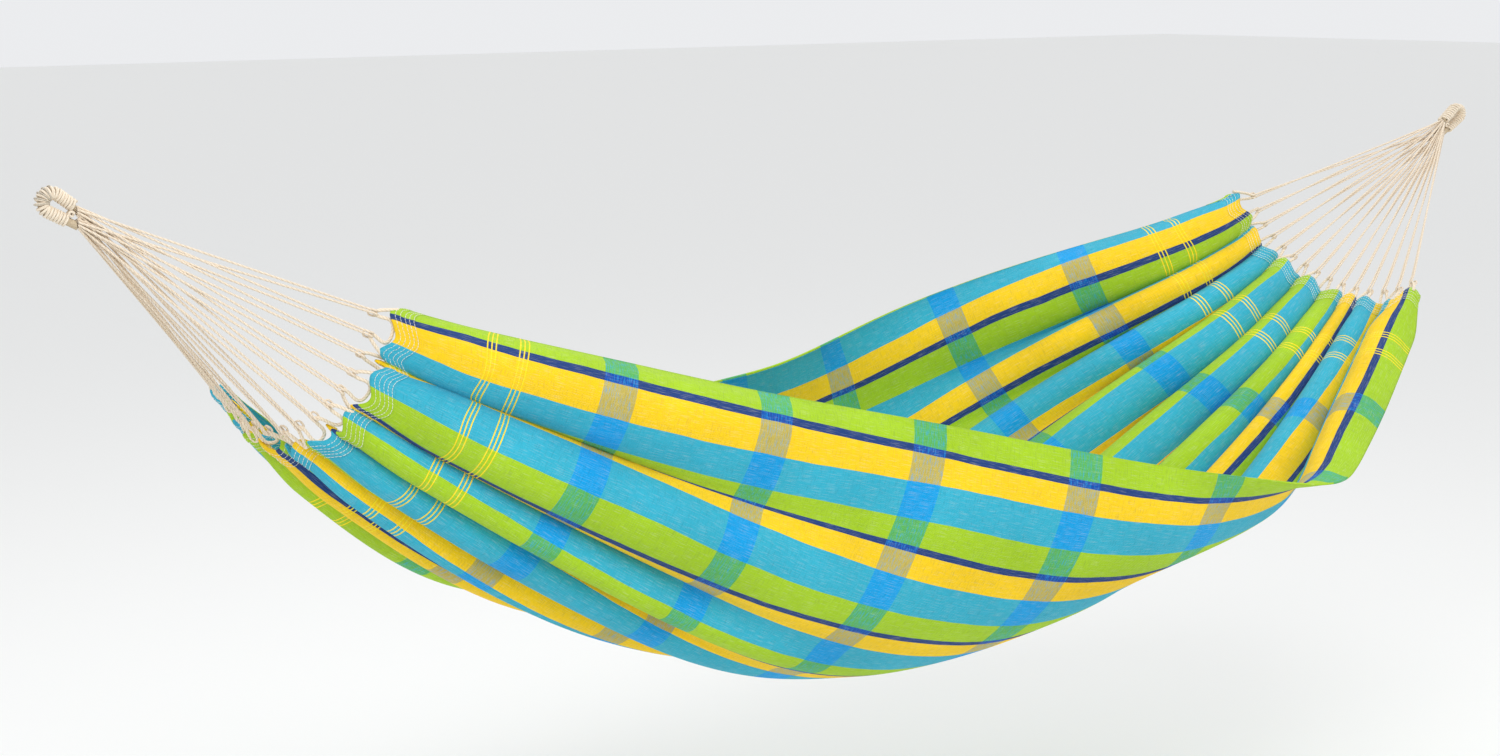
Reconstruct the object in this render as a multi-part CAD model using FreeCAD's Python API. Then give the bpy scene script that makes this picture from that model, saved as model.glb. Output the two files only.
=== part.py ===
"""A hanging hammock: a woven cotton bed hung by fans of doubled cords from two whipped rope eyes.

Millimetres, +Z up. The origin is the point where the left eye bears on its hook, and +X runs to
the right eye's hook. Each suspension cord is one cord doubled round a loop of the hem cord, so it
leaves the eye, turns in the loop and comes back to the eye.
"""
import FreeCAD, Part
import math
import os

V = FreeCAD.Vector

# ---- driving dimensions ---------------------------------------------------------------------------
cloth_width = 1500.0         # the flat cloth, from selvedge to selvedge
neck_span = 2794.0           # between the necks of the two eyes
hem_distance = 500.0         # from an eye's neck to its hem, the same for every cord
left_fall = 49.0             # degrees below the horizontal of the left end's lowest cords
right_fall = 30.0            # and of the right end's
cloth_thick = 6.0            # the cloth and the small waves in it, in the middle of the bed
pleat_depth = 38.0           # the gathered pleats, from one face to the other, at each hem
hem_width = 40.0             # the sewn-down strip at each end
loops_per_end = 15

cord_d = 3.6                 # suspension cord
hem_cord_d = 5.6             # cord threaded through the hem
cord_gap = 0.45              # between two cords that hook round each other
hem_loop_reach = 24.0        # the loops of the hem cord stand out this far from the hem
hem_loop_width = 24.0        # between the two legs of a loop where they leave the hem
hem_cord_depth = 13.0        # how deep in the hem its cord runs
pair_gap = 4.8               # between the two runs of one cord where they leave the crossing

left_eye_slope = 34.0        # degrees that the eye hangs below the horizontal
left_eye_reach = 42.0        # from the hook's seat to the neck
right_eye_slope = 34.0
right_eye_reach = 54.0
eye_bend_r = 13.5            # centreline radius of the eye's bend
neck_leg_gap = 21.0          # between the two legs' centrelines at the neck
core_d = 12.0
left_whip = (19.0, 21.0)     # the whipped rope: in the plane of the eye, and across it
right_whip = (14.0, 27.0)
swing_gap = 0.5              # each side of the neck plane, between the eye and the cords
crossing_len = 74.0          # along X, where the cords cross before they fan out
root_half = 7.0              # half the thickness of the fan where the cords leave the crossing
knot_d = 9.0
knot_len = 17.0
knot_from_neck = 8.0         # the knot's middle, towards the hook

# ---- what follows from them -------------------------------------------------------------------------
def fall(degrees):
    """How far the hem's bottom hangs below the neck, as a share of the neck span."""
    return -hem_distance * math.sin(math.radians(degrees)) / neck_span


# The bed's sections, from the left hem to the right, at even steps of its span: the section's
# length as a share of the cloth's width, the half wrap in degrees, how much the curve gathers at
# the edges (1) or at the bottom (-1), the lean in degrees, the bottom's height as a share of the
# neck span, and its offset along Y as a share of the cloth's width.
SECTIONS = (
    (0.350, 70, -0.60, -50, fall(left_fall), 0.080),
    (0.560, 69, -0.43, -38, -0.233, 0.055),
    (0.820, 102, -0.25, -12, -0.300, 0.025),
    (0.930, 120, 0.28, 2, -0.308, -0.009),
    (0.775, 95, 0.70, 12, -0.238, -0.033),
    (0.460, 60, 0.70, 29, -0.154, -0.077),
    (0.350, 70, 0.60, 29, fall(right_fall), -0.009),
)
slopes = {-1: math.radians(left_eye_slope), 1: math.radians(right_eye_slope)}
reaches = {-1: left_eye_reach, 1: right_eye_reach}


def eye_way(end):
    """From an eye's neck to its hook."""
    return V(end * math.cos(slopes[end]), 0, math.sin(slopes[end]))


left_neck = eye_way(-1) * -left_eye_reach
right_neck = left_neck + V(neck_span, 0, 0)
right_hook = right_neck + eye_way(1) * right_eye_reach
bed_middle = (left_neck + right_neck) * 0.5
bed_half_span = neck_span / 2 - hem_distance * math.cos(math.radians(left_fall))
arc_steps = 96               # steps in the sum that gives a section's curve
edge_points = 13             # points that each long edge of a section is drawn through
loft_sections = 17
loft_reach = 1.08            # the loft runs this far past the hems, as a share of the half span
hem_between = (0.5, 1.05)    # and each hem lies between these shares
halvings = 24                # in the search for the hem's edge

steps = [-1 + 2 * i / (len(SECTIONS) - 1) for i in range(len(SECTIONS))]


def column(first):
    """A smooth curve of three columns of SECTIONS against the place along the span."""
    curve = Part.BSplineCurve()
    rows = [V(*row[first:first + 3]) for row in SECTIONS]
    curve.interpolate(Points=rows, Parameters=steps)
    return curve


form, place = column(0), column(3)


def section_shape(q):
    """Offsets (Y, Z from the necks' line) and headings along the bed's section at q.

    The curve's direction turns from -wrap to +wrap as wrap * (u + gather * (u^3 - u)), and its
    length is the section's, so it is summed from the bottom out to each edge, then leaned over.
    """
    share, wrap, gather = form.value(q)
    lean, drop, side = place.value(q)
    step = share * cloth_width / arc_steps
    heading = []
    for i in range(arc_steps + 1):
        u = -1 + 2 * i / arc_steps
        heading.append(math.radians(wrap) * (u + gather * (u ** 3 - u)))
    y, z = [0.0], [0.0]
    for a, b in zip(heading, heading[1:]):
        y.append(y[-1] + step * (math.cos(a) + math.cos(b)) / 2)
        z.append(z[-1] + step * (math.sin(a) + math.sin(b)) / 2)
    middle_y, middle_z = y[arc_steps // 2], z[arc_steps // 2]
    half_height = (z[0] - middle_z) / 2
    tilt = math.radians(lean)
    cos_t, sin_t = math.cos(tilt), math.sin(tilt)
    turned = []
    for py, pz in zip(y, z):
        py, pz = py - middle_y, pz - middle_z - half_height
        turned.append((py * cos_t - pz * sin_t + side * cloth_width,
                       py * sin_t + pz * cos_t + half_height + drop * neck_span))
    return turned, [a + tilt for a in heading]


def section(q):
    """Points and inward normals along the bed's section at q, all in one plane across X."""
    turned, heading = section_shape(q)
    points = [bed_middle + V(bed_half_span * q, y, z) for y, z in turned]
    return points, [V(0, -math.sin(a), math.cos(a)) for a in heading]


def hem_point(end, at):
    """The point of the hem's edge at a place along the section, from 0 to 1.

    Every cord of an end is as long as the others, so the hem lies on a ball about the neck. Its q
    is found by halving the stretch between a section outside the ball and one inside.
    """
    neck = right_neck if end > 0 else left_neck
    k = min(int(at * arc_steps), arc_steps - 1)
    part = at * arc_steps - k
    outside, within = end * hem_between[0], end * hem_between[1]
    for _ in range(halvings):
        q = (outside + within) / 2
        points = section(q)[0]
        point = points[k] * (1 - part) + points[k + 1] * part
        if (point - neck).Length > hem_distance:
            outside = q
        else:
            within = q
    return point


def thickness(q):
    """The bed's thickness, which grows towards the hems as the pleats deepen."""
    return cloth_thick + (pleat_depth - cloth_thick) * abs(q) ** 4


def section_wire(q):
    """The closed outline of the bed at q: outer curve, edge, inner curve, edge."""
    points, normals = section(q)
    half = thickness(q) / 2
    picks = [round(i * arc_steps / (edge_points - 1)) for i in range(edge_points)]
    outer = [points[i] - normals[i] * half for i in picks]
    inner = [points[i] + normals[i] * half for i in reversed(picks)]
    out_curve, in_curve = Part.BSplineCurve(), Part.BSplineCurve()
    out_curve.interpolate(outer)
    in_curve.interpolate(inner)
    return Part.Wire([
        out_curve.toShape(), Part.makeLine(outer[-1], inner[0]),
        in_curve.toShape(), Part.makeLine(inner[-1], outer[0])])


def rounded_tube(route, radii, diameter):
    """A tube along straight runs joined by tangent arcs of the given radii at the inner points."""
    edges = []
    start = route[0]
    for i in range(1, len(route) - 1):
        back = (route[i - 1] - route[i]).normalize()
        ahead = (route[i + 1] - route[i]).normalize()
        turn = math.pi - back.getAngle(ahead)
        cut = radii[i - 1] * math.tan(turn / 2)
        first, last = route[i] + back * cut, route[i] + ahead * cut
        to_centre = (back + ahead).normalize()
        centre = route[i] + to_centre * (radii[i - 1] / math.cos(turn / 2))
        edges.append(Part.makeLine(start, first))
        edges.append(Part.Arc(first, centre - to_centre * radii[i - 1], last).toShape())
        start = last
    edges.append(Part.makeLine(start, route[-1]))
    profile = Part.Wire(Part.makeCircle(diameter / 2, route[0], route[1] - route[0]))
    return Part.Wire(edges).makePipeShell([profile], True, False)


def hem_places(end):
    """For each loop: where it leaves the hem, the way to the neck, and the way along the hem."""
    neck = right_neck if end > 0 else left_neck
    found = []
    for i in range(loops_per_end):
        at = (i + 0.5) / loops_per_end
        point, ahead = hem_point(end, at), hem_point(end, at + 0.5 / loops_per_end)
        to_neck = (neck - point).normalize()
        along = ahead - point
        along = (along - to_neck * along.dot(to_neck)).normalize()
        found.append((point, to_neck, along))
    return found


def cord_places(end):
    """For each loop: the two cord starts on the crossing's flat face, and the loop's tip.

    The two starts lie one each side of the line from tip to neck, square to the hem's loop.
    """
    neck = right_neck if end > 0 else left_neck
    face_x = neck.x - end * crossing_len
    found = []
    for point, to_neck, along in hem_places(end):
        tip = point + to_neck * hem_loop_reach
        across = to_neck.cross(along) * (pair_gap / 2)
        starts = []
        for start in (tip + across, tip - across):
            starts.append(start + to_neck * ((face_x - start.x) / to_neck.x))
        found.append((starts[0], starts[1], tip))
    return found


def suspension_cord(first, second, tip):
    """One cord: straight to the loop, round its tip and straight back, as two lines and an arc."""
    radius = (hem_cord_d + cord_d) / 2 + cord_gap
    plane_normal = (first - tip).cross(second - tip).normalize()
    touch = []
    for start, side in ((first, 1), (second, -1)):
        line = start - tip
        toward = (start - tip).normalize()
        across = toward.cross(plane_normal).normalize() * side
        angle = math.acos(radius / line.Length)
        touch.append(tip + (toward * math.cos(angle) + across * math.sin(angle)) * radius)
    back = ((first + second) * 0.5 - tip).normalize()
    path = Part.Wire([
        Part.makeLine(first, touch[0]),
        Part.Arc(touch[0], tip - back * radius, touch[1]).toShape(),
        Part.makeLine(touch[1], second)])
    profile = Part.Wire(Part.makeCircle(cord_d / 2, first, touch[0] - first))
    return path.makePipeShell([profile], True, False), path.Length


def hem_cord(end):
    """The cord threaded through the hem, out to a tip for each suspension cord and back in."""
    radius = (hem_cord_d + cord_d) / 2 + cord_gap
    route, radii = [], []
    for point, to_neck, along in hem_places(end):
        inside = point - to_neck * hem_cord_depth
        tip = point + to_neck * hem_loop_reach
        leg = along * (hem_loop_width / 2)
        corner = along * radius
        route += [inside - leg, tip - corner, tip + corner, inside + leg]
        radii += [radius] * 4
    return rounded_tube(route, radii[1:-1], hem_cord_d)


def eye_path(neck, end, in_plane):
    """The U of the eye in the XZ plane: leg, bend, leg; it runs past the neck plane to be cut."""
    out = eye_way(end)
    up = V(-end * out.z, 0, end * out.x)
    eye_leg = reaches[end] - eye_bend_r + in_plane / 2
    middle = neck + out * eye_leg
    spread = (eye_bend_r - neck_leg_gap / 2) / eye_leg
    past = -knot_len
    legs = []
    for side in (1, -1):
        offset = neck_leg_gap / 2 + spread * past
        legs.append((neck + out * past + up * side * offset, middle + up * side * eye_bend_r))
    return Part.Wire([
        Part.makeLine(*legs[0]),
        Part.Arc(legs[0][1], middle + out * eye_bend_r, legs[1][1]).toShape(),
        Part.makeLine(legs[1][1], legs[1][0])])


def eye_tube(neck, end, whip, in_plane, across):
    """The eye's rope with an elliptical section, cut off square to X at the neck."""
    path = eye_path(neck, end, whip[0])
    start = path.Edges[0].Vertexes[0].Point
    toward = (path.Edges[0].Vertexes[1].Point - start).normalize()
    side = V(0, across / 2, 0)
    in_way = toward.cross(V(0, 1, 0)) * (in_plane / 2)
    if across > in_plane:
        outline = Part.Ellipse(start + side, start + in_way, start).toShape()
    else:
        outline = Part.makeCircle(in_plane / 2, start, toward)
    tube = path.makePipeShell([Part.Wire(outline)], True, False)
    size = 4 * reaches[end]
    face_x = neck.x + end * swing_gap
    low_x = face_x if end > 0 else face_x - size
    return tube.common(Part.makeBox(size, size, size, V(low_x, -size / 2, neck.z - size / 2)))


def crossing(end):
    """The cords where they cross beyond the neck: from a round bundle to the fan's curved root."""
    neck = right_neck if end > 0 else left_neck
    roots = [(first + second) * 0.5 for first, second, _ in cord_places(end)]
    chord = (roots[-1] - roots[0]).normalize()
    belly = V(1, 0, 0).cross(chord)
    if belly.z > 0:
        belly = belly * -1
    centre = V(neck.x - end * swing_gap, 0, neck.z)
    bundle_r = (neck_leg_gap + core_d) / 2
    fan_side, round_side = [], []
    for i, root in enumerate(roots):
        way = (roots[min(i + 1, loops_per_end - 1)] - roots[max(i - 1, 0)]).normalize()
        normal = V(1, 0, 0).cross(way)
        if normal.dot(belly) < 0:
            normal = normal * -1
        angle = math.pi * i / (loops_per_end - 1)
        fan_side.append((root, way, normal * root_half))
        round_side.append((belly * math.sin(angle) - chord * math.cos(angle)) * bundle_r)
    first, last = fan_side[0], fan_side[-1]
    fan = [first[0] - first[1] * root_half]
    fan += [root + normal for root, _, normal in fan_side]
    fan += [last[0] + last[1] * root_half]
    fan += [root - normal for root, _, normal in reversed(fan_side)]
    ring = [centre - chord * bundle_r]
    ring += [centre + offset for offset in round_side[1:-1]]
    ring += [centre + chord * bundle_r]
    ring += [centre - offset for offset in round_side[1:-1]]
    outlines = []
    for points in (ring, fan):
        curve = Part.BSplineCurve()
        curve.interpolate(Points=points, PeriodicFlag=True)
        outlines.append(Part.Wire(curve.toShape()))
    return Part.makeLoft(outlines, True, True)


def knot(neck, end):
    """The small binding between the two legs, a short roll of turns lying across the eye."""
    centre = neck + eye_way(end) * knot_from_neck
    return Part.makeCylinder(knot_d / 2, knot_len, centre - V(0, knot_len / 2, 0), V(0, 1, 0))


# ---- the solids ---------------------------------------------------------------------------------------
solids = {}
places = [loft_reach * (2 * i / (loft_sections - 1) - 1) for i in range(loft_sections)]
whole_bed = Part.makeLoft([section_wire(q) for q in places], True, False)
bed_cloth = whole_bed
hems = {}
for end, neck in ((-1, left_neck), (1, right_neck)):
    cloth_ball = Part.makeSphere(hem_distance + hem_width, neck)
    cord_ball = Part.makeSphere(hem_distance, neck)
    hems[end] = whole_bed.common(cloth_ball).cut(cord_ball)
    bed_cloth = bed_cloth.cut(cloth_ball)
solids["bed_cloth"] = bed_cloth

lengths = {}
for name, end, neck, whip in (("left", -1, left_neck, left_whip),
                              ("right", 1, right_neck, right_whip)):
    solids[name + "_hem"] = hems[end]
    solids[name + "_hem_cord"] = hem_cord(end)
    for number, (first, second, tip) in enumerate(cord_places(end), 1):
        node = f"{name}_cord_{number:02d}"
        solids[node], lengths[node] = suspension_cord(first, second, tip)
    solids[name + "_cord_crossing"] = crossing(end)
    core = eye_tube(neck, end, whip, core_d, core_d)
    solids[name + "_eye_core"] = core
    solids[name + "_eye_whipping"] = eye_tube(neck, end, whip, *whip).cut(core)
    solids[name + "_neck_knot"] = knot(neck, end)

os.makedirs("parts", exist_ok=True)
for node, shape in solids.items():
    shape.exportStep(f"parts/{node}.step")
    print(f"{node:24s} valid {shape.isValid()}  solids {len(shape.Solids)}  "
          f"volume {shape.Volume / 1000:9.2f} cm3")
for node, length in lengths.items():
    straight = length * math.pi * cord_d ** 2 / 4
    print(f"{node} length {length:.0f} mm, volume / (section x length) "
          f"{solids[node].Volume / straight:.3f}")
print("left neck", left_neck, "right neck", right_neck, "right hook", right_hook)
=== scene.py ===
"""A hanging cotton hammock: striped cloth bed, hems, hem cords, doubled suspension cords, whipped eyes."""
import math
import bpy
import numpy as np
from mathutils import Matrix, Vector


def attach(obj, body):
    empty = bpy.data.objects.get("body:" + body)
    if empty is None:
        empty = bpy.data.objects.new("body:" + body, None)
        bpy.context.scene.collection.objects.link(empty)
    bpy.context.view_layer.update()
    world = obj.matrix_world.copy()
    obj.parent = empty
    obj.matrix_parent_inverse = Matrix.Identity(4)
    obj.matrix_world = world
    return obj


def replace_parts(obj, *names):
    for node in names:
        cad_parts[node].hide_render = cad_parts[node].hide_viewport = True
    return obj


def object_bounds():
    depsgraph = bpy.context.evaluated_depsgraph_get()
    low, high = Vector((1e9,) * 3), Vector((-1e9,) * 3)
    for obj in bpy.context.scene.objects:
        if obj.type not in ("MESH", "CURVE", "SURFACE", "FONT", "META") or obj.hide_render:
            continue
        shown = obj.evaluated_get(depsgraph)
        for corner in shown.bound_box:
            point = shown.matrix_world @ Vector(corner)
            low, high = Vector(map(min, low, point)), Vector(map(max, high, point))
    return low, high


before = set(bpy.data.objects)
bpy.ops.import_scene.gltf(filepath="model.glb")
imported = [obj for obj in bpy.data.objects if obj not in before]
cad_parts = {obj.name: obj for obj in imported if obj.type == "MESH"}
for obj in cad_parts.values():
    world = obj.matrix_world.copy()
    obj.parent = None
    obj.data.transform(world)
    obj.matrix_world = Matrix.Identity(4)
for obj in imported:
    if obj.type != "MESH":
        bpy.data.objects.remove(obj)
cad_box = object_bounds()

# ---- sizes, in metres ---------------------------------------------------------------------------------
MM = 0.001
CLOTH_WIDTH, CLOTH_LENGTH = 1.500, 2.300
HEM_WIDTH = 40 * MM
NECK_SPAN = 2.794
HEM_DISTANCE = 0.500
LEFT_FALL, RIGHT_FALL = math.radians(49), math.radians(30)
LOOPS = 15
CORD_D, HEM_CORD_D = 3.6 * MM, 5.6 * MM
CORD_GAP = 0.45 * MM
LOOP_REACH, LOOP_WIDTH, HEM_CORD_DEPTH = 24 * MM, 24 * MM, 13 * MM
EYE_SLOPE = math.radians(34)
EYE_REACH = {-1: 42 * MM, 1: 54 * MM}
EYE_BEND_R, NECK_LEG_GAP = 13.5 * MM, 21 * MM
SWING_GAP = 0.5 * MM
WHIP = {-1: (19 * MM, 21 * MM), 1: (14 * MM, 27 * MM)}     # in the plane of the eye, and across it
SIDE = {-1: "left", 1: "right"}


def eye_way(end):
    """From an eye's neck to its hook."""
    return np.array([end * math.cos(EYE_SLOPE), 0, math.sin(EYE_SLOPE)])


def eye_up(end):
    """Square to that, in the plane of the eye."""
    out = eye_way(end)
    return np.array([-end * out[2], 0, end * out[0]])


NECK = {-1: -EYE_REACH[-1] * eye_way(-1)}
NECK[1] = NECK[-1] + [NECK_SPAN, 0, 0]
BED_MIDDLE = (NECK[-1] + NECK[1]) / 2
BED_HALF_SPAN = NECK_SPAN / 2 - HEM_DISTANCE * math.cos(LEFT_FALL)

# The bed's sections from the left hem to the right, as in the solid model: length as a share of the
# cloth's width, half wrap in degrees, gather, lean in degrees, drop over the neck span, side shift
# as a share of the width.
SECTIONS = np.array((
    (0.350, 70, -0.60, -50, -HEM_DISTANCE * math.sin(LEFT_FALL) / NECK_SPAN, 0.080),
    (0.560, 69, -0.43, -38, -0.233, 0.055),
    (0.820, 102, -0.25, -12, -0.300, 0.025),
    (0.930, 120, 0.28, 2, -0.308, -0.009),
    (0.775, 95, 0.70, 12, -0.238, -0.033),
    (0.460, 60, 0.70, 29, -0.154, -0.077),
    (0.350, 70, 0.60, 29, -HEM_DISTANCE * math.sin(RIGHT_FALL) / NECK_SPAN, -0.009),
))

REPEAT = CLOTH_WIDTH / 8             # one set of stripes
BAND_PITCH, BAND_WIDTH, BANDS = 0.260, 0.054, 7
ACCENT_FIRST, ACCENT_PITCH, ACCENT_THREADS = 0.136, 0.052, 7 * MM
# Where the folds lie across the cloth near each end: its near selvedge, then ridge, valley, ridge...
# and the far selvedge.
FOLDS = {
    -1: (0, 0.065, 0.245, 0.38, 0.50, 0.575, 0.655, 0.73, 0.81, 0.88, 0.95, 1.02, 1.095, 1.165, 1.24,
         1.315, 1.385, 1.45, 1.50),
    1: (0, 0.07, 0.235, 0.335, 0.40, 0.455, 0.505, 0.575, 0.65, 0.74, 0.83, 0.925, 1.02, 1.085, 1.15,
        1.215, 1.28, 1.37, 1.50)}
HEM_DIP = 17 * MM                    # the hem's edge dips this far between two loops
HEM_FOLD, BED_FOLD = 10 * MM, 24 * MM    # how far the folds stand off the bare bed, at a hem and past it
FOLD_LEAN = 1.35                     # over 1, their ridges hang over the valleys
FOLDS_GROW = 0.13                    # this far from a hem they have their full depth,
FOLDS_FADE, LEAN_FADES = (0.30, 1.12), (0.30, 1.05)    # and between these they die away
WIDE_FOLD = 0.17                     # a fold this wide stands off by BED_FOLD
GATHER = 0.42                        # the share of the cloth's width that the folds take up
LIP, LIP_AT = 22 * MM, 1.67          # the sag of the near edge, and where along the cloth it is
LIP_LENGTH, LIP_WIDTH = 0.12, 0.22   # how far it spreads along the cloth and in from the edge
LIP_WAY = np.array([0.93, -0.20, -0.30])


# ---- numbers to surfaces ------------------------------------------------------------------------------
def unit(v):
    """Each vector over its own length."""
    return v / np.maximum(np.linalg.norm(v, axis=-1, keepdims=True), 1e-12)


def smooth(x, low, high):
    """0 below low, 1 above high, and 3t^2 - 2t^3 between."""
    t = np.clip((x - low) / (high - low), 0, 1)
    return t * t * (3 - 2 * t)


def columns(q):
    """The section columns at each q: cubics through the rows with matching first and second
    derivatives, whose end slopes are those of the cubic through the last four rows."""
    rows = SECTIONS
    n = len(rows) - 1
    h = 2 / n
    system = np.diag([1.0] + [4.0] * (n - 1) + [1.0])
    inner = np.arange(1, n)
    system[inner, inner - 1] = 1
    system[inner, inner + 1] = 1
    four = np.array([-11, 18, -9, 2]) / (6 * h)
    right = np.vstack([four @ rows[:4], 3 * (rows[2:] - rows[:-2]) / h, -four @ rows[:-5:-1]])
    slope = np.linalg.solve(system, right)
    k = np.clip(((q + 1) / h).astype(int), 0, n - 1)
    t = ((q + 1) / h - k)[:, None]
    return (rows[k] * (2 * t ** 3 - 3 * t ** 2 + 1) + slope[k] * h * (t ** 3 - 2 * t ** 2 + t)
            + rows[k + 1] * (3 * t ** 2 - 2 * t ** 3) + slope[k + 1] * h * (t ** 3 - t ** 2))


ARC_STEPS = 96
TABLE_Q = np.linspace(-1.06, 1.06, 425)


def bed_table(u):
    """Points of the bed at every TABLE_Q and each u from -1 to 1 across the cloth.

    A section's heading is wrap * (u + gather * (u^3 - u)); it is summed from the bottom outwards to
    give Y and Z, which are leaned over about half their height, shifted and dropped.
    """
    share, wrap, gather, lean, drop, side = columns(TABLE_Q).T[:, :, None]
    fine = np.linspace(-1, 1, ARC_STEPS + 1)
    heading = np.radians(wrap) * (fine + gather * (fine ** 3 - fine))
    step = share * CLOTH_WIDTH / ARC_STEPS
    start = np.zeros((len(TABLE_Q), 1))
    y = np.hstack([start, np.cumsum((np.cos(heading)[:, 1:] + np.cos(heading)[:, :-1]) / 2, 1) * step])
    z = np.hstack([start, np.cumsum((np.sin(heading)[:, 1:] + np.sin(heading)[:, :-1]) / 2, 1) * step])
    middle = ARC_STEPS // 2
    y = y - y[:, middle:middle + 1]
    z = z - z[:, middle:middle + 1]
    half_height = z[:, :1] / 2
    tilt = np.radians(lean)
    upright = z - half_height
    turned_y = y * np.cos(tilt) - upright * np.sin(tilt) + side * CLOTH_WIDTH
    turned_z = y * np.sin(tilt) + upright * np.cos(tilt) + half_height + drop * NECK_SPAN
    at = (u + 1) / 2 * ARC_STEPS
    k = np.clip(at.astype(int), 0, ARC_STEPS - 1)
    w = at - k
    points = np.empty((len(TABLE_Q), len(u), 3))
    points[..., 0] = BED_MIDDLE[0] + BED_HALF_SPAN * TABLE_Q[:, None]
    points[..., 1] = turned_y[:, k] * (1 - w) + turned_y[:, k + 1] * w + BED_MIDDLE[1]
    points[..., 2] = turned_z[:, k] * (1 - w) + turned_z[:, k + 1] * w + BED_MIDDLE[2]
    return points


def bare_bed(v, along):
    """The bed without its pleats: along (rows, columns) is the share of each thread's own length,
    from the left hem to the right, where each thread v of the warp starts and ends at HEM_DISTANCE
    from a neck."""
    table = bed_table(2 * v / CLOTH_WIDTH - 1)
    columns_at = np.arange(len(v))
    place = {}
    for end in (-1, 1):
        away = np.linalg.norm(table - NECK[end], axis=-1) - HEM_DISTANCE
        if end > 0:
            away = away[::-1]
        last = len(TABLE_Q) - 1 - np.argmax(away[::-1] < 0, axis=0)
        inside, outside = away[last, columns_at], away[last + 1, columns_at]
        found = last - inside / (outside - inside)
        place[end] = found if end < 0 else len(TABLE_Q) - 1 - found
    rows = 400
    share = np.linspace(0, 1, rows)[:, None]
    at = place[-1] + (place[1] - place[-1]) * share
    k = np.clip(at.astype(int), 0, len(TABLE_Q) - 2)
    w = (at - k)[..., None]
    threads = table[k, columns_at] * (1 - w) + table[k + 1, columns_at] * w
    run = np.linalg.norm(np.diff(threads, axis=0), axis=-1)
    length = np.vstack([np.zeros(len(v)), np.cumsum(run, 0)])
    length /= length[-1]
    row = np.empty_like(along)
    for j in columns_at:
        row[:, j] = np.interp(along[:, j], length[:, j], np.arange(rows))
    k = np.clip(row.astype(int), 0, rows - 2)
    w = (row - k)[..., None]
    return threads[k, columns_at] * (1 - w) + threads[k + 1, columns_at] * w


def waves(seed, count, low, high):
    """Phases and wave numbers of a few slow waves, for unevenness that is the same each time."""
    draw = np.random.default_rng(seed)
    return draw.uniform(0, 2 * math.pi, count), draw.uniform(low, high, count)


def unevenness(x, y, seed, count=4, low=2.0, high=7.0):
    """A smooth random height about 0, the mean of waves running in different directions."""
    phase, number = waves(seed, count, low, high)
    turn = np.linspace(0.2, 2.9, count)
    total = sum(np.sin(n * (x * math.cos(a) + y * math.sin(a)) * 2 + p)
                for n, p, a in zip(number, phase, turn))
    return total / count


def fold_turns(v, end):
    """How many folds lie before each place across the cloth: half a turn from each place of FOLDS
    to the next, eased so that ridges and valleys are round."""
    places = np.array(FOLDS[end])
    fine = np.linspace(-0.03, CLOTH_WIDTH + 0.03, 400)
    turns = np.interp(fine, places, (np.arange(len(places)) - 1) / 2)
    kernel = np.hanning(13)
    eased = np.convolve(np.pad(turns, 6, mode="edge"), kernel / kernel.sum(), mode="valid")
    return np.interp(v, fine, eased)


def bed_surface(v, s):
    """The cloth as it hangs, folds and all, at each flat place (s along the warp, v across).

    The bare bed is moved along its normal by A cos(p) and across by B sin(p), which makes wide
    ridges with narrow valleys under them. p turns once from ridge to ridge of FOLDS. The ridges
    face outwards at the left end and inwards at the right. A and B die away from the hems. Between
    two loops the hem's edge dips away from the neck, and the near edge sags into a lip by the
    fifth band.
    """
    nearest = np.minimum(s, CLOTH_LENGTH - s)
    left = s < CLOTH_LENGTH / 2
    scallop = (1 + np.cos(2 * math.pi * LOOPS * v / CLOTH_WIDTH)) / 2
    dip = HEM_DIP * scallop * (1 - smooth(nearest, 0.0, 0.25))
    along = (s + np.where(left, dip, -dip)) / CLOTH_LENGTH
    bare = bare_bed(v[0], along)
    ds = unit(np.gradient(bare, axis=0))
    dv = unit(np.gradient(bare, axis=1))
    normal = unit(np.cross(ds, dv))
    across = unit(np.cross(normal, ds))
    turns = {end: fold_turns(v, end) for end in FOLDS}
    wander = np.where(left, unevenness(v * 2, s * 0.5, 3), unevenness(v * 2, s * 0.5, 5))
    here = np.where(left, turns[-1], turns[1])
    phase = 2 * math.pi * here + 0.7 * wander * smooth(nearest, 0.10, 0.6)
    rise = {end: np.gradient(turns[end], axis=1) for end in turns}
    pace = np.where(left, rise[-1], rise[1]) / np.gradient(v, axis=1)
    fold_width = 1 / np.maximum(pace, 3.0)
    grown = smooth(nearest, 0.0, FOLDS_GROW)
    depth = HEM_FOLD * (1 - grown) + BED_FOLD * np.sqrt(fold_width / WIDE_FOLD) * grown
    depth = depth * (1 - smooth(nearest, *FOLDS_FADE)) * (1 + 0.25 * unevenness(v * 4, s * 0.5, 11))
    depth = depth * np.where(left, -1, 1)
    gathered = GATHER / (2 * math.pi) * fold_width
    lean = FOLD_LEAN * gathered * (1 - smooth(nearest, *LEAN_FADES)) * (0.6 + 0.4 * grown)
    gentle = 6 * MM * unevenness(v * 1.5, s * 0.5, 17) * smooth(nearest, 0.2, 0.8)
    creases = 1.1 * MM * unevenness(v * 30, s * 1.5, 23, count=5) * (1 - smooth(nearest, 0.3, 1.1))
    edge = smooth(np.minimum(v, CLOTH_WIDTH - v), -0.02, 0.05)
    height = depth * np.cos(phase) + gentle * edge + creases
    lip = LIP * np.exp(-((s - LIP_AT) / LIP_LENGTH) ** 2 - (v / LIP_WIDTH) ** 2)
    return (bare + normal * height[..., None] + across * (lean * np.sin(phase))[..., None]
            + lip[..., None] * LIP_WAY)


def grid_normals(points):
    """Unit normals of a grid of points, from its two directions' differences."""
    return unit(np.cross(np.gradient(points, axis=0), np.gradient(points, axis=1)))


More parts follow.
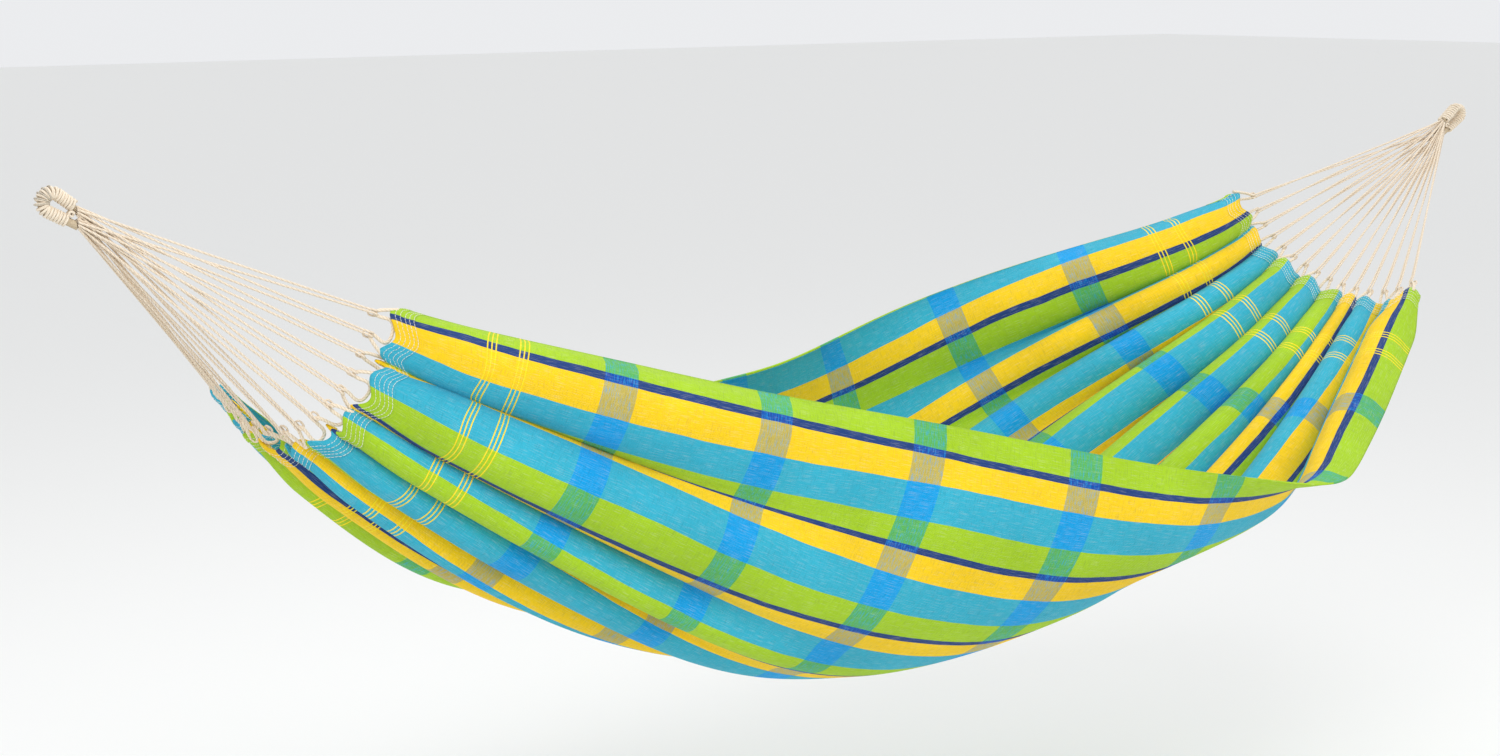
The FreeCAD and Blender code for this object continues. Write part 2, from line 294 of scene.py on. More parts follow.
def mesh_piece(name, points, faces, body, material, uv=None):
    """A mesh object at the origin that rides on a body. uv is one (u, v) for each corner."""
    mesh = bpy.data.meshes.new(name)
    mesh.from_pydata(points.reshape(-1, 3).tolist(), [], faces.tolist())
    if uv is not None:
        layer = mesh.uv_layers.new(name="cloth")
        layer.data.foreach_set("uv", uv.astype(np.float32).ravel())
    mesh.shade_smooth()
    mesh.update()
    piece = bpy.data.objects.new(name, mesh)
    bpy.context.scene.collection.objects.link(piece)
    mesh.materials.append(material)
    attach(piece, body)
    return piece


def quads(rows, cols, offset=0, close=False):
    """The four corners of each cell of a grid, row by row; close joins the last column to the first."""
    i = np.arange(rows - 1)[:, None]
    j = np.arange(cols if close else cols - 1)[None, :]
    nxt = (j + 1) % cols
    return (np.stack([i * cols + j, i * cols + nxt, (i + 1) * cols + nxt, (i + 1) * cols + j], -1)
            .reshape(-1, 4) + offset)


def shell(name, points, flat, thick, body, material):
    """A closed sheet: the grid moved half its thickness each way along its normals, and the rim
    between the two faces. flat holds each point's place on the flat cloth, kept as UV in metres."""
    rows, cols = points.shape[:2]
    normal = grid_normals(points)
    half = (thick / 2)[..., None]
    top, low = points + normal * half, points - normal * half
    both = np.vstack([top.reshape(-1, 3), low.reshape(-1, 3)])
    count = rows * cols
    upper = quads(rows, cols)
    lower = quads(rows, cols, count)[:, ::-1]
    index = np.arange(count).reshape(rows, cols)
    rim = np.concatenate([index[0, :], index[1:, -1], index[-1, -2::-1], index[-2:0:-1, 0]])
    after = np.roll(rim, -1)
    side = np.stack([rim, rim + count, after + count, after], -1)
    faces = np.vstack([upper, lower, side])
    flat_uv = np.vstack([flat.reshape(-1, 2)] * 2)
    return mesh_piece(name, both, faces, body, material, flat_uv[faces.ravel()])


# ---- cords --------------------------------------------------------------------------------------------
def nurbs_route(name, route):
    """Points of a smooth open spline whose control points are the route: a NURBS of order 3."""
    curve = bpy.data.curves.new(name + "_route", "CURVE")
    curve.dimensions = "3D"
    curve.resolution_u = 8
    spline = curve.splines.new("NURBS")
    spline.points.add(len(route) - 1)
    weights = np.ones((len(route), 1))
    spline.points.foreach_set("co", np.hstack([np.asarray(route), weights]).astype(np.float32).ravel())
    spline.order_u = 3
    spline.use_endpoint_u = True
    holder = bpy.data.objects.new(name + "_route", curve)
    bpy.context.scene.collection.objects.link(holder)
    bpy.context.view_layer.update()
    mesh = bpy.data.meshes.new_from_object(holder.evaluated_get(bpy.context.evaluated_depsgraph_get()))
    points = np.empty(len(mesh.vertices) * 3, np.float32)
    mesh.vertices.foreach_get("co", points)
    bpy.data.objects.remove(holder)
    bpy.data.curves.remove(curve)
    bpy.data.meshes.remove(mesh)
    return points.reshape(-1, 3).astype(float)


def even_points(path, spacing):
    """The path again with points at even steps of its length."""
    run = np.concatenate([[0], np.cumsum(np.linalg.norm(np.diff(path, axis=0), axis=1))])
    count = max(int(run[-1] / spacing), 8)
    at = np.linspace(0, run[-1], count)
    return np.stack([np.interp(at, run, path[:, i]) for i in range(3)], -1), at


def carried_axes(path):
    """Two unit axes across a path that don't spin: each is the last one with the new direction
    taken out of it."""
    along = unit(np.gradient(path, axis=0))
    first = np.array([0.31, 0.87, 0.38])
    side = np.empty_like(path)
    for i, way in enumerate(along):
        first = first - way * first.dot(way)
        first = first / np.linalg.norm(first)
        side[i] = first
    return side, np.cross(along, side)


def cord_mesh(name, path, diameter, body, material, plies=2, lay=4.0, around=8, step=0.9,
              seed=1):
    """A laid cord: round the path, the radius swells plies times and the swelling turns once every
    lay diameters, so the plies wind about each other. Both ends are closed by a cap. UV runs once
    round the cord and along it in diameters."""
    path, at = even_points(path, diameter * step)
    side, up = carried_axes(path)
    angle = np.linspace(0, 2 * math.pi, around, endpoint=False)
    turn = 2 * math.pi * at / (lay * diameter)
    thin = 1 + 0.03 * unevenness(at * 30, at * 0, seed)
    swell = 0.08 if plies == 2 else 0.05
    radius = diameter / 2 * thin[:, None] * (1 - swell / 2 + swell * np.cos(plies * (angle - turn[:, None])))
    points = (path[:, None] + side[:, None] * (radius * np.cos(angle))[..., None]
              + up[:, None] * (radius * np.sin(angle))[..., None])
    rows = len(path)
    ends = np.array([path[0], path[-1]])
    faces = quads(rows, around, close=True)
    ring = np.arange(around)
    nxt = (ring + 1) % around
    first, last = rows * around, rows * around + 1
    cap_a = np.stack([ring, np.full(around, first), nxt], -1)
    cap_b = np.stack([nxt + (rows - 1) * around, np.full(around, last), ring + (rows - 1) * around], -1)
    everything = np.vstack([points.reshape(-1, 3), ends])
    mesh = bpy.data.meshes.new(name)
    mesh.from_pydata(everything.tolist(), [], faces.tolist() + cap_a.tolist() + cap_b.tolist())
    spot = np.zeros((len(everything), 2))
    grid_u, grid_v = np.meshgrid(np.arange(around) / around, at / diameter)
    spot[:rows * around] = np.stack([grid_u.ravel(), grid_v.ravel()], -1)
    layer = mesh.uv_layers.new(name="cord")
    corners = np.empty(len(mesh.loops), np.int32)
    mesh.loops.foreach_get("vertex_index", corners)
    layer.data.foreach_set("uv", spot[corners].astype(np.float32).ravel())
    mesh.shade_smooth()
    mesh.materials.append(material)
    piece = bpy.data.objects.new(name, mesh)
    bpy.context.scene.collection.objects.link(piece)
    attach(piece, body)
    return piece, path


# ---- materials ----------------------------------------------------------------------------------------
def linear(code):
    """An sRGB hex colour as linear red, green, blue and 1."""
    values = [int(code[i:i + 2], 16) / 255 for i in (0, 2, 4)]
    return [c / 12.92 if c <= 0.04045 else ((c + 0.055) / 1.055) ** 2.4 for c in values] + [1.0]


def add(tree, kind, inputs=(), out=0, **settings):
    """Adds a shader node of that kind with its settings, and links or sets its inputs, which are
    keyed by name or number. Returns the output socket of that number."""
    node = tree.nodes.new("ShaderNode" + kind)
    for name, value in settings.items():
        setattr(node, name, value)
    for key, value in dict(inputs).items():
        if isinstance(value, bpy.types.NodeSocket):
            tree.links.new(value, node.inputs[key])
        else:
            node.inputs[key].default_value = value
    return node.outputs[out]


def new_material(name):
    """An empty node material with its output and principled shader."""
    material = bpy.data.materials.new(name)
    material.use_nodes = True
    tree = material.node_tree
    tree.nodes.clear()
    surface = add(tree, "BsdfPrincipled")
    output = tree.nodes.new("ShaderNodeOutputMaterial")
    tree.links.new(surface, output.inputs["Surface"])
    return material, tree, surface.node


# Where each stripe of the warp starts in a repeat, its colour, and its colour where the blue weft
# of a band covers half of it.
STRIPES = ((0.0, "a6ce22", "5cb65c"), (0.29, "22407c", "0b4ba8"), (0.36, "fbd014", "c6b354"),
           (0.62, "35b0cb", "0c9fe2"))


def woven_cotton():
    """Plain-woven cotton, dyed in the yarn: matt, a little fuzzy, with slubs and paler flecks where
    a thick thread comes up. UV is the place on the flat cloth in metres: u across, v along."""
    material, tree, shader = new_material("striped_woven_cotton")
    uv = add(tree, "UVMap", uv_map="cloth")
    split = add(tree, "SeparateXYZ", {0: uv}).node
    across, along = split.outputs[0], split.outputs[1]
    # the warp's stripes, whose edges wander by a thread or two
    wobble = add(tree, "TexNoise", {"Vector": uv, "Scale": 9.0, "Detail": 2.0})
    moved = add(tree, "Math", {0: wobble, 1: 6 * MM, 2: across}, operation="MULTIPLY_ADD")
    repeats = add(tree, "Math", {0: moved, 1: REPEAT}, operation="DIVIDE")
    share = add(tree, "Math", {0: repeats}, operation="FRACT")
    dyed = []
    for column in (1, 2):
        dyed.append(add(tree, "ValToRGB", {0: share}))
        ramp = dyed[-1].node.color_ramp
        ramp.interpolation = "CONSTANT"
        ramp.elements[0].color = linear(STRIPES[0][column])
        ramp.elements[1].color = linear(STRIPES[-1][column])
        for stripe in STRIPES[1:]:
            ramp.elements.new(stripe[0]).color = linear(stripe[column])
    # the blue weft bands, centred along the cloth
    first = CLOTH_LENGTH / 2 - BANDS / 2 * BAND_PITCH
    from_first = add(tree, "Math", {0: along, 1: first}, operation="SUBTRACT")
    band_at = add(tree, "Math", {0: from_first, 1: BAND_PITCH}, operation="DIVIDE")
    in_pitch = add(tree, "Math", {0: band_at}, operation="FRACT")
    near_middle = add(tree, "Math", {0: in_pitch, 1: 0.5, 2: BAND_WIDTH / BAND_PITCH / 2},
                      operation="COMPARE")
    among_bands = add(tree, "Math", {0: band_at, 1: BANDS / 2, 2: BANDS / 2}, operation="COMPARE")
    band = add(tree, "Math", {0: near_middle, 1: among_bands}, operation="MULTIPLY")
    # slubs: noise drawn out along each set of threads
    warp_place = add(tree, "Mapping", {0: uv, "Scale": (900.0, 45.0, 1.0)})
    warp_slub = add(tree, "TexNoise", {"Vector": warp_place, "Scale": 1.0, "Detail": 3.0})
    weft_place = add(tree, "Mapping", {0: uv, "Scale": (60.0, 700.0, 1.0)})
    weft_slub = add(tree, "TexNoise", {"Vector": weft_place, "Scale": 1.0, "Detail": 3.0})
    colour = add(tree, "Mix", {0: band, 6: dyed[0], 7: dyed[1]}, out=2, data_type="RGBA")
    thick_weft = add(tree, "MapRange", {0: weft_slub, 1: 0.54, 2: 0.58, 3: 0.0, 4: 0.45})
    over = add(tree, "Math", {0: band, 1: thick_weft}, operation="MULTIPLY")
    colour = add(tree, "Mix", {0: over, 6: colour, 7: linear("12a2e4")}, out=2, data_type="RGBA")
    # three thick yellow threads of weft, twice, near each end
    back = add(tree, "Math", {0: CLOTH_LENGTH, 1: along}, operation="SUBTRACT")
    inward = add(tree, "Math", {0: along, 1: back}, operation="MINIMUM")
    past_first = add(tree, "Math", {0: inward, 1: ACCENT_FIRST}, operation="SUBTRACT")
    group_at = add(tree, "Math", {0: past_first, 1: ACCENT_PITCH}, operation="DIVIDE")
    in_group = add(tree, "Math", {0: group_at}, operation="FRACT")
    in_pitch_threads = ACCENT_PITCH / ACCENT_THREADS
    thread_at = add(tree, "Math", {0: in_group, 1: in_pitch_threads, 2: 0.5 - in_pitch_threads / 2},
                    operation="MULTIPLY_ADD")
    in_thread = add(tree, "Math", {0: thread_at}, operation="FRACT")
    accent = add(tree, "Math", {0: in_thread, 1: 0.5, 2: 0.15}, operation="COMPARE")
    for value, middle, reach in ((thread_at, 0.5, 1.45), (group_at, 1.0, 1.0)):
        inside = add(tree, "Math", {0: value, 1: middle, 2: reach}, operation="COMPARE")
        accent = add(tree, "Math", {0: accent, 1: inside}, operation="MULTIPLY")
    colour = add(tree, "Mix", {0: accent, 6: colour, 7: linear("ffe21c")}, out=2, data_type="RGBA")
    # paler flecks and darker threads
    fleck = add(tree, "MapRange", {0: warp_slub, 1: 0.52, 2: 0.78, 3: 0.0, 4: 0.22})
    colour = add(tree, "Mix", {0: fleck, 6: colour, 7: linear("f3f0da")}, out=2, data_type="RGBA")
    shadow = add(tree, "MapRange", {0: weft_slub, 1: 0.50, 2: 0.28, 3: 0.0, 4: 0.22})
    colour = add(tree, "Mix", {0: shadow, 6: colour, 7: linear("20405a")}, out=2, data_type="RGBA")
    # the weave, drawn about three times as coarse as its 1 mm threads, so that it shows
    turns = 2 * math.pi / (3.0 * MM)
    warp_turn = add(tree, "Math", {0: across, 1: turns}, operation="MULTIPLY")
    weft_turn = add(tree, "Math", {0: along, 1: turns}, operation="MULTIPLY")
    warp_wave = add(tree, "Math", {0: warp_turn}, operation="SINE")
    weft_wave = add(tree, "Math", {0: weft_turn}, operation="SINE")
    checker = add(tree, "Math", {0: warp_wave, 1: weft_wave}, operation="MULTIPLY")
    patches = add(tree, "TexNoise", {"Vector": uv, "Scale": 6.0, "Detail": 4.0})
    tone = add(tree, "MapRange", {0: patches, 1: 0.3, 2: 0.7, 3: 0.90, 4: 1.06})
    grain = add(tree, "Math", {0: checker, 1: 0.07, 2: tone}, operation="MULTIPLY_ADD")
    shaded = add(tree, "HueSaturation", {"Value": grain, "Color": colour})
    tree.links.new(shaded, shader.inputs["Base Color"])
    slubs = add(tree, "Math", {0: warp_slub, 1: weft_slub}, operation="ADD")
    height = add(tree, "Math", {0: checker, 1: 0.5, 2: slubs}, operation="MULTIPLY_ADD")
    height = add(tree, "Math", {0: accent, 1: 1.2, 2: height}, operation="MULTIPLY_ADD")
    bump = add(tree, "Bump", {"Height": height, "Strength": 0.55, "Distance": 0.9 * MM})
    tree.links.new(bump, shader.inputs["Normal"])
    shader.inputs["Roughness"].default_value = 0.92
    shader.inputs["Specular IOR Level"].default_value = 0.25
    shader.inputs["Sheen Weight"].default_value = 0.06
    shader.inputs["Sheen Roughness"].default_value = 0.5
    return material


def twisted_cotton(name, pale, brown, plies, lay, depth):
    """Undyed cotton, spun and laid up into cord: matt, cream, with painted shade that turns it browner
    in the grooves between the plies, and loose fibres. UV runs once round the cord, and along it in
    diameters."""
    material, tree, shader = new_material(name)
    uv = add(tree, "UVMap", uv_map="cord")
    split = add(tree, "SeparateXYZ", {0: uv}).node
    turn = add(tree, "Math", {0: split.outputs[1], 1: -1 / lay, 2: split.outputs[0]},
               operation="MULTIPLY_ADD")
    angle = add(tree, "Math", {0: turn, 1: 2 * math.pi * plies}, operation="MULTIPLY")
    ply = add(tree, "Math", {0: angle}, operation="COSINE")
    place = add(tree, "TexCoord", out="Object")
    fibres = add(tree, "TexNoise", {"Vector": place, "Scale": 700.0, "Detail": 2.0})
    patches = add(tree, "TexNoise", {"Vector": place, "Scale": 35.0, "Detail": 3.0})
    # painted shade: the colour turns browner in the grooves between the plies, just where the cord's mesh is
    # thinnest
    painted_groove_shade = add(tree, "MapRange", {0: ply, 1: -0.1, 2: -1.0, 3: 0.0, 4: 0.40})
    colour = add(tree, "Mix", {0: painted_groove_shade, 6: linear(pale), 7: linear(brown)}, out=2, data_type="RGBA")
    stain = add(tree, "MapRange", {0: patches, 1: 0.0, 2: 1.0, 3: 0.0, 4: 0.30})
    colour = add(tree, "Mix", {0: stain, 6: colour, 7: linear("dcc8a9")}, out=2, data_type="RGBA")
    dark = add(tree, "MapRange", {0: fibres, 1: 0.55, 2: 0.3, 3: 0.0, 4: 0.18})
    colour = add(tree, "Mix", {0: dark, 6: colour, 7: linear(brown)}, out=2, data_type="RGBA")
    tree.links.new(colour, shader.inputs["Base Color"])
    height = add(tree, "Math", {0: ply, 1: 0.5, 2: fibres}, operation="MULTIPLY_ADD")
    bump = add(tree, "Bump", {"Height": height, "Strength": 0.7, "Distance": depth})
    tree.links.new(bump, shader.inputs["Normal"])
    shader.inputs["Roughness"].default_value = 0.9
    shader.inputs["Specular IOR Level"].default_value = 0.25
    shader.inputs["Sheen Weight"].default_value = 0.2
    return material


def speckled_cotton(name, pale, dark, grain, depth, roughness):
    """Plain cotton with no pattern but its fibres, whose grain is given per metre: the white sewing
    thread, slightly lustrous, and the rope inside the eyes, seen only between the turns over it."""
    material, tree, shader = new_material(name)
    place = add(tree, "TexCoord", out="Object")
    fibres = add(tree, "TexNoise", {"Vector": place, "Scale": grain, "Detail": 3.0})
    colour = add(tree, "Mix", {0: fibres, 6: linear(pale), 7: linear(dark)}, out=2, data_type="RGBA")
    tree.links.new(colour, shader.inputs["Base Color"])
    bump = add(tree, "Bump", {"Height": fibres, "Strength": 0.5, "Distance": depth})
    tree.links.new(bump, shader.inputs["Normal"])
    shader.inputs["Roughness"].default_value = roughness
    return material


cotton = woven_cotton()
cord_cotton = twisted_cotton("laid_cotton_cord", "eee0cc", "b0967a", 2, 5.0, 0.3 * MM)
rope_cotton = twisted_cotton("laid_cotton_rope", "f4e6d0", "b0977a", 3, 3.5, 0.5 * MM)
whip_cotton = twisted_cotton("whipping_cord", "efe3d0", "b39c80", 3, 9.0, 0.25 * MM)
grey_cotton = twisted_cotton("weathered_cotton_cord", "cfc6b6", "8d8271", 2, 3.0, 0.5 * MM)
thread = speckled_cotton("white_sewing_thread", "fbfaf2", "dedbcb", 700.0, 0.2 * MM, 0.6)
core_cotton = speckled_cotton("cotton_rope_core", "d8c8ad", "9d8869", 500.0, 0.5 * MM, 0.95)


# ---- the bed ------------------------------------------------------------------------------------------
def uneven_steps(low, high, count, pull):
    """Steps from low to high that are closer together near both ends, by pull from 0 to 1."""
    t = np.linspace(0, 1, count)
    return low + (high - low) * (t - pull * np.sin(2 * math.pi * t) / (2 * math.pi))


def flat_grid(v, s):
    """The flat places of a grid: rows run across the cloth, one for each s."""
    across, along = np.meshgrid(v, s)
    return across, along, np.stack([across, along], -1)


def make_bed_cloth():
    """The cloth between the hems: 1.8 mm thick, with a rolled selvedge along each long edge."""
    tuck = HEM_WIDTH - 5 * MM
    across, along, flat = flat_grid(np.linspace(0, CLOTH_WIDTH, 216),
                                    uneven_steps(tuck, CLOTH_LENGTH - tuck, 222, 0.55))
    points = bed_surface(across, along)
    from_edge = np.minimum(across, CLOTH_WIDTH - across)
    thick = 1.8 * MM + 1.6 * MM * (1 - smooth(from_edge, 0.002, 0.009))
    piece = shell("bed_cloth_woven", points, flat, thick, "bed", cotton)
    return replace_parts(piece, "bed_cloth")


# The hem's thickness at places in from its edge, both in millimetres.
HEM_LAYERS = ((0.0, 2.6), (3.0, 5.4), (9.0, 8.0), (15.0, 8.4), (19.0, 5.2), (30.0, 4.4), (38.0, 4.2),
              (40.5, 2.4))


def hem_thickness(inward):
    """The folded hem's thickness: full round its cord, flat where the layers are sewn together."""
    places, values = np.array(HEM_LAYERS).T
    return np.interp(inward, places * MM, values * MM)


def from_end(end, inward):
    """Flat place along the cloth that is that far inward from an end."""
    return inward if end < 0 else CLOTH_LENGTH - inward


def make_hem(end):
    """The end of the cloth folded back over the hem cord, following the same folds as the bed."""
    inward = np.concatenate([np.linspace(0, 20, 11), np.linspace(22.5, 40.5, 8)]) * MM
    s = np.sort(from_end(end, inward))
    across, along, flat = flat_grid(np.linspace(0, CLOTH_WIDTH, 301), s)
    points = bed_surface(across, along)
    thick = hem_thickness(np.abs(from_end(end, along)))
    piece = shell(f"{SIDE[end]}_hem_folded", points, flat, thick, "bed", cotton)
    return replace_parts(piece, f"{SIDE[end]}_hem")


def make_stitching(end):
    """Rows of sewn stitches on both faces of a hem. Each stitch is a bar of three four-cornered
    rings, low at its two ends and high in the middle, lying on the hem along the cloth's width."""
    rows = np.array([8.0, 16.0, 24.0, 31.0, 38.0]) * MM
    stitch, step, half_width, rise = 5.0 * MM, 6.4 * MM, 0.5 * MM, 0.8 * MM
    count = int(CLOTH_WIDTH / step) - 1
    middles = (np.arange(count) + 0.75) * step
    v = (middles[:, None] + np.array([-0.5, 0.0, 0.5]) * stitch).ravel()
    s = np.sort(from_end(end, rows))
    across, along, _ = flat_grid(v, s)
    points = bed_surface(across, along)
    ahead = bed_surface(across, along + 1.0 * MM)
    beside = bed_surface(across + 0.5 * MM, along)
    way = unit(ahead - points)
    normal = unit(np.cross(way, beside - points))
    half = hem_thickness(np.abs(from_end(end, along)))[..., None] / 2
    lift = np.tile([0.1, 1.0, 0.1], count)[None, :, None] * rise
    rings = []
    for face in (1, -1):
        on = points + normal * half * face
        rings.append(np.stack([on - way * half_width, on + normal * face * lift,
                               on + way * half_width, on - normal * face * 0.4 * MM], 2))
    rings = np.concatenate(rings, 0).reshape(-1, 3, 4, 3)
    total = len(rings)
    corner = np.arange(4)
    turned = (corner + 1) % 4
    bands = [np.stack([corner + k, turned + k, turned + k + 4, corner + k + 4], -1) for k in (0, 4)]
    cell = np.concatenate(bands + [np.array([[3, 2, 1, 0], [8, 9, 10, 11]])])
    faces = (cell[None] + 12 * np.arange(total)[:, None, None]).reshape(-1, 4)
    return mesh_piece(f"{SIDE[end]}_hem_stitching", rings, faces, "bed", thread)


# ---- hem cords, suspension cords ------------------------------------------------------------------------
def hem_places(end):
    """For each loop: its point on the bare hem's edge, the way to the neck, the way along the hem,
    and how far the fold there carries the hem off the bare bed."""
    v = (np.arange(LOOPS) + 0.5) / LOOPS * CLOTH_WIDTH
    share = np.full((2, LOOPS), 0.0 if end < 0 else 1.0)
    points = bare_bed(v, share)[0]
    ahead = bare_bed(v + 0.5 / LOOPS * CLOTH_WIDTH, share)[0]
    to_neck = unit(NECK[end] - points)
    along = ahead - points
    along = unit(along - to_neck * np.sum(along * to_neck, -1, keepdims=True))
    each = 20
    across, inward, _ = flat_grid(np.linspace(0, CLOTH_WIDTH, LOOPS * each + 1),
                                  np.sort(from_end(end, HEM_CORD_DEPTH + np.array([-3, 0, 3]) * MM)))
    folded = bed_surface(across, inward)[1]
    bare = bare_bed(across[0], inward / CLOTH_LENGTH)[1]
    offset = (folded - bare)[each // 2::each]
    return points, to_neck, along, offset


def make_hem_cord(end):
    """One rope threaded through the hem and out to a tip for each suspension cord."""
    points, to_neck, along, offset = hem_places(end)
    corner = along * ((HEM_CORD_D + CORD_D) / 2 + CORD_GAP)
    leg = along * (LOOP_WIDTH / 2 * 0.7)
    inside = points - to_neck * HEM_CORD_DEPTH + offset
    tip = points + to_neck * LOOP_REACH
    route = np.stack([inside - leg, tip - corner, tip + corner, inside + leg], 1).reshape(-1, 3)
    name = f"{SIDE[end]}_hem_cord"
    piece, path = cord_mesh(name + "_laid", nurbs_route(name, route), HEM_CORD_D, "bed",
                            rope_cotton, plies=3, lay=3.5, around=12, step=0.33)
    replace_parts(piece, name)


# A hitch round the tip of a hem cord's loop: places along the hem, across it and towards the neck,
# in millimetres. The cord comes down, goes round behind the loop, up and over in front of itself,
# and back the same way on the other side.
HITCH = ((-2.0, 0.8, 24.0), (-2.3, 4.9, 6.0), (-2.8, 5.2, -3.4), (-3.4, -2.2, -6.2), (-4.4, -5.6, -0.5),
         (-4.6, -5.0, 7.5))


def strand_places(count, radius):
    """Even places in a disc: the radius grows as the square root of the count, turning by the
    golden angle each time."""
    k = np.arange(count) + 0.5
    return np.stack([radius * np.sqrt(k / count) * np.cos(2.39996 * k),
                     radius * np.sqrt(k / count) * np.sin(2.39996 * k)], -1)


def make_suspension_cords(end):
    """The doubled cords of one end: each leaves one leg of the eye, is hitched round its loop of the
    hem cord and comes back to the other leg."""
    name = SIDE[end]
    points, to_neck, along, _ = hem_places(end)
    tips = points + to_neck * LOOP_REACH
    neck = NECK[end]
    up = eye_up(end)
    fan = unit(tips[-1] - tips[0])
    fan = unit(fan * [0, 1, 1])
    other = np.cross([1.0, 0, 0], fan)
    spots = strand_places(LOOPS, 7.0 * MM)
    spots = spots[np.argsort(spots[:, 0])]
    cords = []
    for i in range(LOOPS):
        offset = fan * spots[i, 0] + other * spots[i, 1]
        starts = []
        for side in (1, -1):
            start = neck + up * side * NECK_LEG_GAP / 2 + offset
            start[0] = neck[0] - end * 1.2 * MM
            starts.append(start)
        across = np.cross(to_neck[i], along[i])
        hitch = [tips[i] + (along[i] * a + across * c + to_neck[i] * n) * MM for a, c, n in HITCH]
        other_half = [tips[i] + (-along[i] * a + across * c + to_neck[i] * n) * MM for a, c, n in HITCH]
        bight = tips[i] + (across * -4.6 + to_neck[i] * 9.0) * MM
        route = np.array([starts[0]] + hitch + [bight] + other_half[::-1] + [starts[1]])
        label = f"{name}_cord_{i + 1:02d}"
        piece, path = cord_mesh(label + "_laid", nurbs_route(label, route), CORD_D, "bed",
                                cord_cotton, step=0.75, seed=i)
        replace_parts(piece, label)
        cords.append(piece)
    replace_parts(cords[0], f"{name}_cord_crossing")


# ---- eyes ---------------------------------------------------------------------------------------------
def eye_line(end, share):
    """Points of the eye's U at shares of its length, with the axes in its plane and across it: a
    leg from the neck, the bend, and the other leg back."""
    out, up = eye_way(end), eye_up(end)
    leg = EYE_REACH[end] - EYE_BEND_R + WHIP[end][0] / 2
    bend = math.pi * EYE_BEND_R
    run = share * (2 * leg + bend)
    half_gap = NECK_LEG_GAP / 2
    a = np.clip((run - leg) / EYE_BEND_R, 0, math.pi)
    first = run < leg
    last = run > leg + bend
    lengthwise = np.where(first, run, np.where(last, 2 * leg + bend - run, leg)) + EYE_BEND_R * np.sin(a)
    spread = half_gap + (EYE_BEND_R - half_gap) * np.clip(lengthwise / leg, 0, 1)
    sidewise = np.where(first, spread, np.where(last, -spread, EYE_BEND_R * np.cos(a)))
    centre = NECK[end] + lengthwise[:, None] * out + sidewise[:, None] * up
    outward = np.sin(a)[:, None] * out + np.cos(a)[:, None] * up
    return centre, outward


STEPS_PER_TURN = 36


def wound(end, first, last, turns, cord_d, grow, seed):
    """A cord wound round the eye's rope between two shares of its length: the place on the rope's
    oval turns once for each turn while it moves along, with a little unevenness."""
    share = np.linspace(first, last, int(turns * STEPS_PER_TURN))
    centre, outward = eye_line(end, share)
    progress = (share - first) / (last - first)
    uneven = unevenness(progress * turns / 3, progress * 0, seed)
    angle = 2 * math.pi * turns * progress + 0.3 * uneven
    in_plane = WHIP[end][0] / 2 - cord_d / 2 + grow + 0.2 * MM * uneven
    across = WHIP[end][1] / 2 - cord_d / 2 + grow - 0.2 * MM * uneven
    return (centre + outward * (in_plane * np.cos(angle))[:, None]
            + np.array([0, 1.0, 0]) * (across * np.sin(angle))[:, None])


def make_eye(end):
    """The whipping's turns round the eye, and the small binding between its legs."""
    name, body = SIDE[end], SIDE[end] + "_eye"
    turns = 22 if end < 0 else 23
    from_neck = 0.082 if end < 0 else 0.060
    path = wound(end, from_neck, 1 - from_neck, turns, 4.4 * MM, 0.3 * MM, 31 + end)
    piece, _ = cord_mesh(f"{name}_eye_whipping_turns", path, 4.5 * MM, body, whip_cotton,
                         plies=3, lay=9.0, around=10, step=0.25)
    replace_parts(piece, f"{name}_eye_whipping")
    if end < 0:
        path = wound(end, 0.40, 0.60, 4.6, 2.2 * MM, 1.6 * MM, 47)
        cord_mesh("left_eye_mended_wrap", path, 2.2 * MM, body, grey_cotton,
                  plies=2, lay=3.0, around=8, step=0.4)
    turn = np.linspace(0, 4, 150)
    centre = NECK[end] + eye_way(end) * 8.5 * MM
    reach = (2.9 + 0.5 * np.sin(3.1 * turn)) * MM
    coil = centre + np.stack([reach * np.cos(2 * math.pi * turn), (turn / 4 - 0.5) * 15 * MM,
                              reach * np.sin(2 * math.pi * turn)], -1)
    knot, _ = cord_mesh(f"{name}_neck_knot_turns", coil, 3.8 * MM, body, whip_cotton,
                        plies=3, lay=2.6, around=10, step=0.25)
    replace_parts(knot, f"{name}_neck_knot")
    for material_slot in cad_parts[f"{name}_eye_core"].material_slots:
        material_slot.material = core_cotton


bed_cloth = make_bed_cloth()
trim = []
for end in (-1, 1):
    trim += [make_hem(end), make_stitching(end)]
    make_hem_cord(end)
    make_suspension_cords(end)
    make_eye(end)


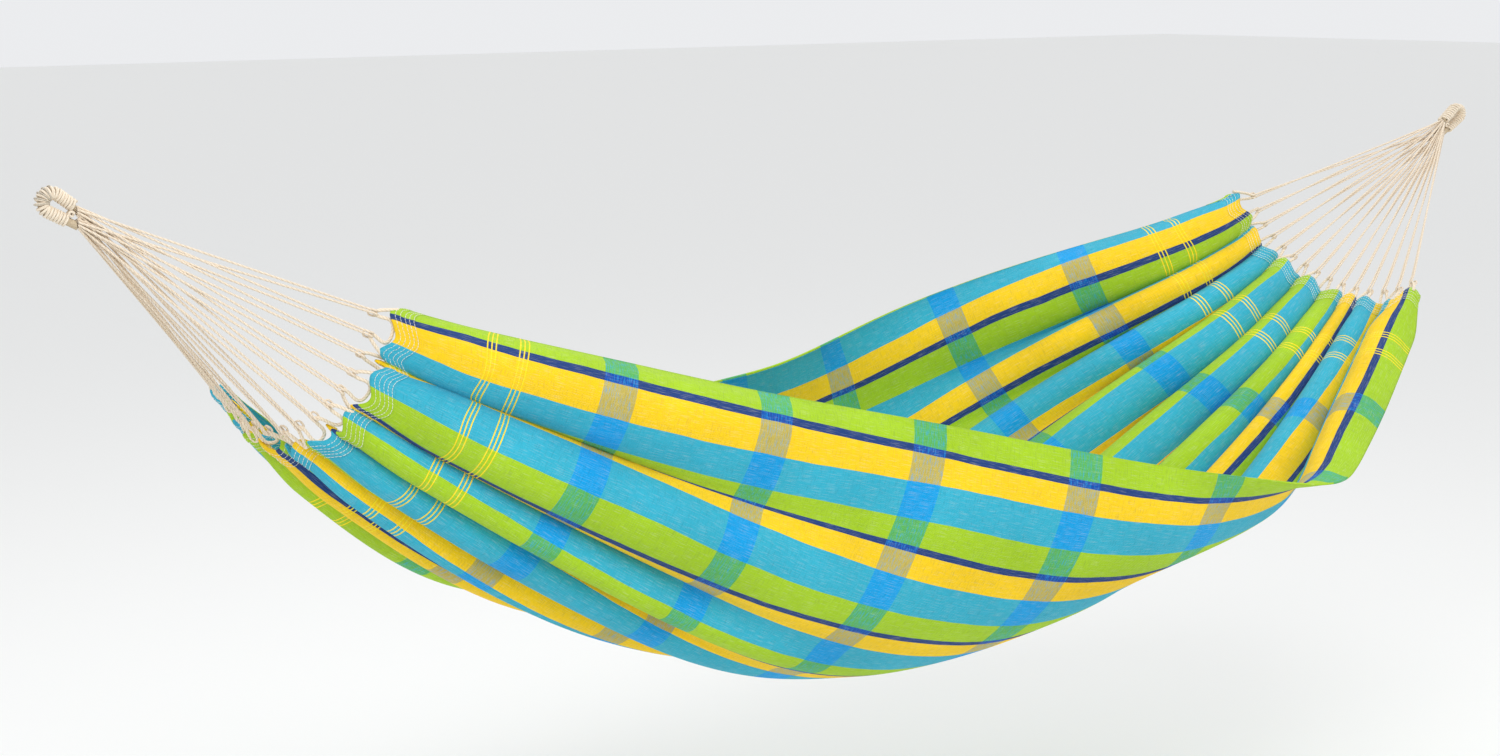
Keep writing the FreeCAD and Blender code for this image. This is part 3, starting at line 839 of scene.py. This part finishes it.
# ---- floor, light, camera -------------------------------------------------------------------------------
def make_stage():
    """A plain pale floor under the bed, a pale sky, and large soft lights."""
    drop, size = 0.45, 40.0
    low = cad_box[0][2] - drop
    mesh = bpy.data.meshes.new("floor")
    corners = [(-size, -size, low), (size, -size, low), (size, size, low), (-size, size, low)]
    mesh.from_pydata(corners, [], [(0, 1, 2, 3)])
    floor = bpy.data.objects.new("floor", mesh)
    bpy.context.scene.collection.objects.link(floor)
    material, _, shader = new_material("pale_matt_floor")
    shader.inputs["Base Color"].default_value = linear("f4f4f2")
    shader.inputs["Roughness"].default_value = 0.9
    mesh.materials.append(material)
    world = bpy.data.worlds.new("pale_studio")
    bpy.context.scene.world = world
    world.use_nodes = True
    world.node_tree.nodes["Background"].inputs["Color"].default_value = (0.97, 0.98, 1.0, 1.0)
    world.node_tree.nodes["Background"].inputs["Strength"].default_value = 0.86
    bpy.context.scene.view_settings.view_transform = "Standard"
    middle = BED_MIDDLE - [0, 0, 0.4]
    lamps = (("key", (-1.6, -2.6, 3.0), 70, 2.0), ("fill", (2.6, -3.0, 1.2), 14, 3.0),
             ("top", (0.3, 1.6, 3.4), 30, 2.4))
    for name, place, power, width in lamps:
        light = bpy.data.lights.new(name, "AREA")
        light.energy = power
        light.size = width
        lamp = bpy.data.objects.new(name, light)
        bpy.context.scene.collection.objects.link(lamp)
        lamp.location = middle + place
        aim(lamp, middle)


def aim(thing, target):
    """Turns a light or camera so that it looks at the target, upright."""
    way = Vector(target) - thing.location
    thing.rotation_euler = way.to_track_quat("-Z", "Y").to_euler()


def make_camera():
    """Off the left end's near side, a little above, looking along the bed."""
    turn, height, away = math.radians(32.9), math.radians(10.4), 3.68
    look = np.array([math.cos(height) * math.sin(turn), math.cos(height) * math.cos(turn), -math.sin(height)])
    target = BED_MIDDLE + [-0.297, 0, -0.342]
    camera = bpy.data.cameras.new("camera")
    camera.lens = 53.0
    camera.sensor_width = 36
    camera.clip_end = 100
    holder = bpy.data.objects.new("camera", camera)
    bpy.context.scene.collection.objects.link(holder)
    holder.location = target - look * away
    aim(holder, target)
    holder.rotation_euler.rotate_axis("Z", math.radians(-0.45))
    bpy.context.scene.camera = holder


make_stage()
make_camera()
